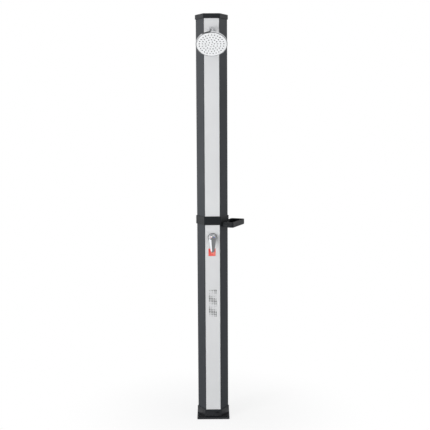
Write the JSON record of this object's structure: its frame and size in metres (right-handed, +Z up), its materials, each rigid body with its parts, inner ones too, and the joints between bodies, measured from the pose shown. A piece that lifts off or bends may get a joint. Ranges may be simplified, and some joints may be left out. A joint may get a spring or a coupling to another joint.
{
  "type": "outdoor solar shower post",
  "caption": "Free-standing hexagonal outdoor shower post with silver front panels, mixer lever, tilting shower head, side soap tray and a bolt-down foot.",
  "frame": {"origin": "centre of the foot's underside, on the ground under the post's axis", "axes": "+Z up along the post, -Y to the front where the panels, lever and shower head are, +X to the side with the soap tray"},
  "size_m": [0.2629, 0.3725, 2.17],
  "materials": {
    "anthracite_tube": "satin extruded PVC",
    "black_plastic": "fine-grained moulding",
    "silver_panel": "satin anodised",
    "grey_pvc": "smooth",
    "brass": "machined",
    "chrome": "polished",
    "cartridge_plastic": "smooth",
    "steel": "bright",
    "rubber": "matt",
    "spray_rubber": "matt",
    "chromed_plastic": "chromed",
    "white_plastic": "pale satin",
    "red_sticker": "printed film",
    "hot_red": "gloss",
    "cold_blue": "gloss"
  },
  "bodies": {
    "post": {"foot": "black_plastic", "foot_screws": "steel", "lower_body": "anthracite_tube", "upper_body": "anthracite_tube", "lower_panel": "silver_panel", "upper_panel": "silver_panel", "collar": "black_plastic", "collar_screws": "steel", "top_cap": "black_plastic", "cap_screws": "steel", "lower_bottom_plate": "grey_pvc", "lower_top_plate": "grey_pvc", "upper_bottom_plate": "grey_pvc", "upper_top_plate": "grey_pvc", "tank_coupler": "grey_pvc", "coupler_seals": "rubber", "coupler_nuts": "grey_pvc", "pipe_unions": "grey_pvc", "union_seals": "rubber", "riser_lower": "grey_pvc", "riser_upper": "grey_pvc", "hot_pipe_lower": "grey_pvc", "hot_pipe_upper": "grey_pvc", "cold_pipe": "grey_pvc", "inlet_fitting": "brass", "inlet_washer": "rubber", "inlet_nut": "brass", "inlet_tee": "brass", "tank_check_valve": "grey_pvc", "drain_elbow": "grey_pvc", "mixer_body": "brass", "mixer_gasket": "rubber", "mixer_dome": "chrome", "mixer_cartridge": "cartridge_plastic", "cartridge_ring": "steel", "red_patch": "red_sticker", "outlet_bush": "brass", "outlet_gasket": "rubber", "outlet_nut": "brass", "outlet_rosette": "chrome", "head_arm": "chrome", "soap_tray": "black_plastic", "tray_screws": "steel"},
    "cartridge_guide": {"cartridge_guide": "cartridge_plastic", "stem_pin": "steel"},
    "lever": {"cartridge_stem": "steel", "lever": "chrome", "lever_screw": "steel", "hot_mark": "hot_red", "cold_mark": "cold_blue"},
    "ball_seat": {"ball_seat": "cartridge_plastic"},
    "shower_head": {"ball_nut": "chrome", "head_shell": "chromed_plastic", "flow_washer": "rubber", "face_plate": "white_plastic", "spray_tips": "spray_rubber", "face_seal": "rubber"},
    "drain_plug": {"drain_plug": "black_plastic", "drain_seal": "rubber"}
  },
  "joints": [
    {"name": "temperature_turn", "type": "hinge", "parent": "post", "child": "cartridge_guide", "pos_m": [0, -0.082, 1], "axis": [0, 1, 0], "range_deg": [-45, 45]},
    {"name": "flow_lift", "type": "hinge", "parent": "cartridge_guide", "child": "lever", "pos_m": [0, -0.082, 1], "axis": [-1, 0, 0], "range_deg": [0, 22]},
    {"name": "head_tilt", "type": "hinge", "parent": "post", "child": "ball_seat", "pos_m": [0, -0.14955, 2.05487], "axis": [1, 0, 0], "range_deg": [-15, 15]},
    {"name": "head_swing", "type": "hinge", "parent": "ball_seat", "child": "shower_head", "pos_m": [0, -0.14955, 2.05487], "axis": [0, -0.7314, 0.682], "range_deg": [-15, 15]},
    {"name": "drain_plug_pull", "type": "slide", "parent": "post", "child": "drain_plug", "axis": [0, -1, 0], "range_m": [0, 0.025]}
  ]
}
